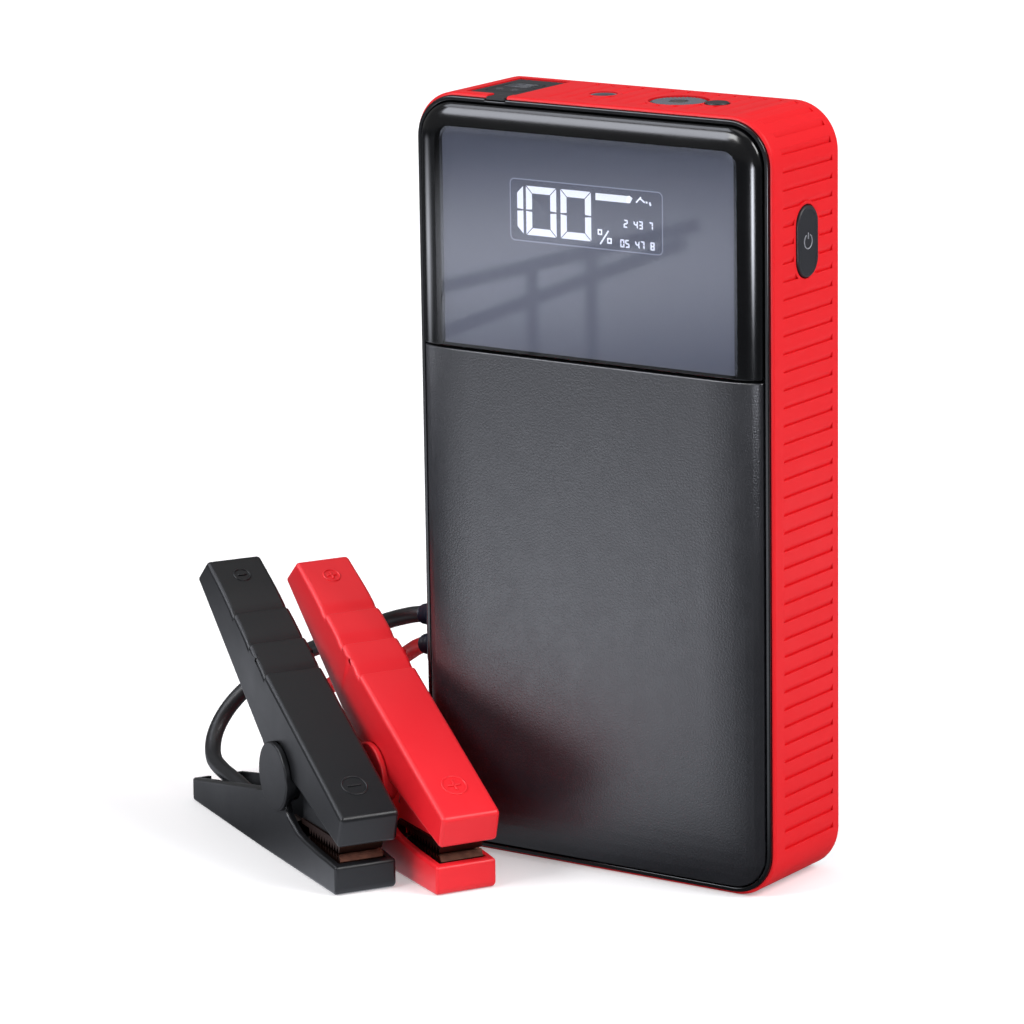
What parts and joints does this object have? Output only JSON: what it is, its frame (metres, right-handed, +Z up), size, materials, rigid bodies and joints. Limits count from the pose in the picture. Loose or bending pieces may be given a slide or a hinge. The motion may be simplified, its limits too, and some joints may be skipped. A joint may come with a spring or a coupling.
{
  "type": "jump starter pack",
  "caption": "Portable car jump starter: flat upright battery case with a ribbed side band, display window, ports and torch, and two spring clamps on short leads.",
  "frame": {"origin": "centre of the case's bottom face, on the surface it stands on", "axes": "+Z up, the front cover faces -Y, the power button is on the +X side, the jump socket on the -X side"},
  "size_m": [0.1821, 0.0919, 0.1904],
  "materials": {
    "band_red": "satin",
    "frame_black": "satin",
    "window_smoked": "polished",
    "cover_black": "fine matt",
    "bezel_black": "matt",
    "lcd_dark": "polished",
    "board_green": "satin",
    "screw_steel": "satin",
    "cell_foil": "satin",
    "foam_grey": "matt",
    "nickel": "satin",
    "capacitor_can": "satin",
    "cover_rubber": "matt",
    "lens_clear": "polished",
    "reflector_chrome": "polished",
    "led_white": "satin",
    "button_black": "satin",
    "switch_black": "matt",
    "socket_blue": "satin",
    "plug_blue": "satin",
    "contact_brass": "polished",
    "copper": "satin",
    "rivet_brass": "satin",
    "spring_steel": "satin",
    "clamp_black": "satin",
    "clamp_red": "satin",
    "lead_black": "satin",
    "lead_red": "satin"
  },
  "bodies": {
    "case": {"side_band": "band_red", "front_frame": "frame_black", "window_lens": "window_smoked", "front_cover": "cover_black", "display_bezel": "bezel_black", "lcd_module": "lcd_dark", "display_board": "board_green", "rear_shell": "cover_black", "case_screws": "screw_steel", "battery_cell_1": "cell_foil", "battery_cell_2": "cell_foil", "battery_cell_3": "cell_foil", "battery_cell_4": "cell_foil", "cell_tray": "frame_black", "foam_pad": "foam_grey", "cell_links": "nickel", "main_board": "board_green", "power_transistors": "bezel_black", "capacitors": "capacitor_can", "board_screws": "screw_steel", "top_board": "board_green", "port_block": "frame_black", "usb_a_socket": "nickel", "usb_c_socket": "nickel", "charge_socket": "bezel_black", "torch_lens": "lens_clear", "torch_reflector": "reflector_chrome", "torch_led": "led_white", "torch_switch": "switch_black", "side_board": "board_green", "power_switch": "switch_black", "jump_socket": "socket_blue", "jump_contacts": "contact_brass", "busbars": "copper", "jump_plug": "plug_blue", "black_lower_jaw": "clamp_black", "black_pivot_pin": "screw_steel", "black_pivot_caps": "clamp_black", "black_spring": "spring_steel", "black_lower_contact": "copper", "black_lower_rivet": "rivet_brass", "black_lead": "lead_black", "red_lower_jaw": "clamp_red", "red_pivot_pin": "screw_steel", "red_pivot_caps": "clamp_red", "red_spring": "spring_steel", "red_lower_contact": "copper", "red_lower_rivet": "rivet_brass", "red_lead": "lead_red"},
    "power_button": {"power_button": "button_black"},
    "torch_button": {"torch_button": "button_black"},
    "port_cover": {"port_cover": "cover_rubber"},
    "black_handle": {"black_handle": "clamp_black", "black_upper_contact": "copper", "black_upper_rivet": "rivet_brass"},
    "red_handle": {"red_handle": "clamp_red", "red_upper_contact": "copper", "red_upper_rivet": "rivet_brass"}
  },
  "joints": [
    {"name": "power_button_press", "type": "slide", "parent": "case", "child": "power_button", "axis": [-1, 0, 0], "range_m": [0, 0.0005], "stiffness_N_per_m": 2000, "springref_m": -0.0003},
    {"name": "torch_button_press", "type": "slide", "parent": "case", "child": "torch_button", "axis": [0, 0, -1], "range_m": [0, 0.0005], "stiffness_N_per_m": 1500, "springref_m": -0.0003},
    {"name": "port_cover_hinge", "type": "hinge", "parent": "case", "child": "port_cover", "pos_m": [-0.031, 0.0106, 0.1887], "axis": [-1, 0, 0], "range_deg": [0, 95]},
    {"name": "black_clamp_hinge", "type": "hinge", "parent": "case", "child": "black_handle", "pos_m": [-0.06832, -0.04258, 0.0216], "axis": [-0.5075, -0.8616, 0], "range_deg": [0, 32], "stiffness_Nm_per_rad": 0.4, "springref_deg": -57.3, "deforming": ["black_spring"]},
    {"name": "red_clamp_hinge", "type": "hinge", "parent": "case", "child": "red_handle", "pos_m": [-0.04797, -0.03049, 0.0216], "axis": [-0.4848, -0.8746, 0], "range_deg": [0, 32], "stiffness_Nm_per_rad": 0.4, "springref_deg": -57.3, "deforming": ["red_spring"]}
  ]
}
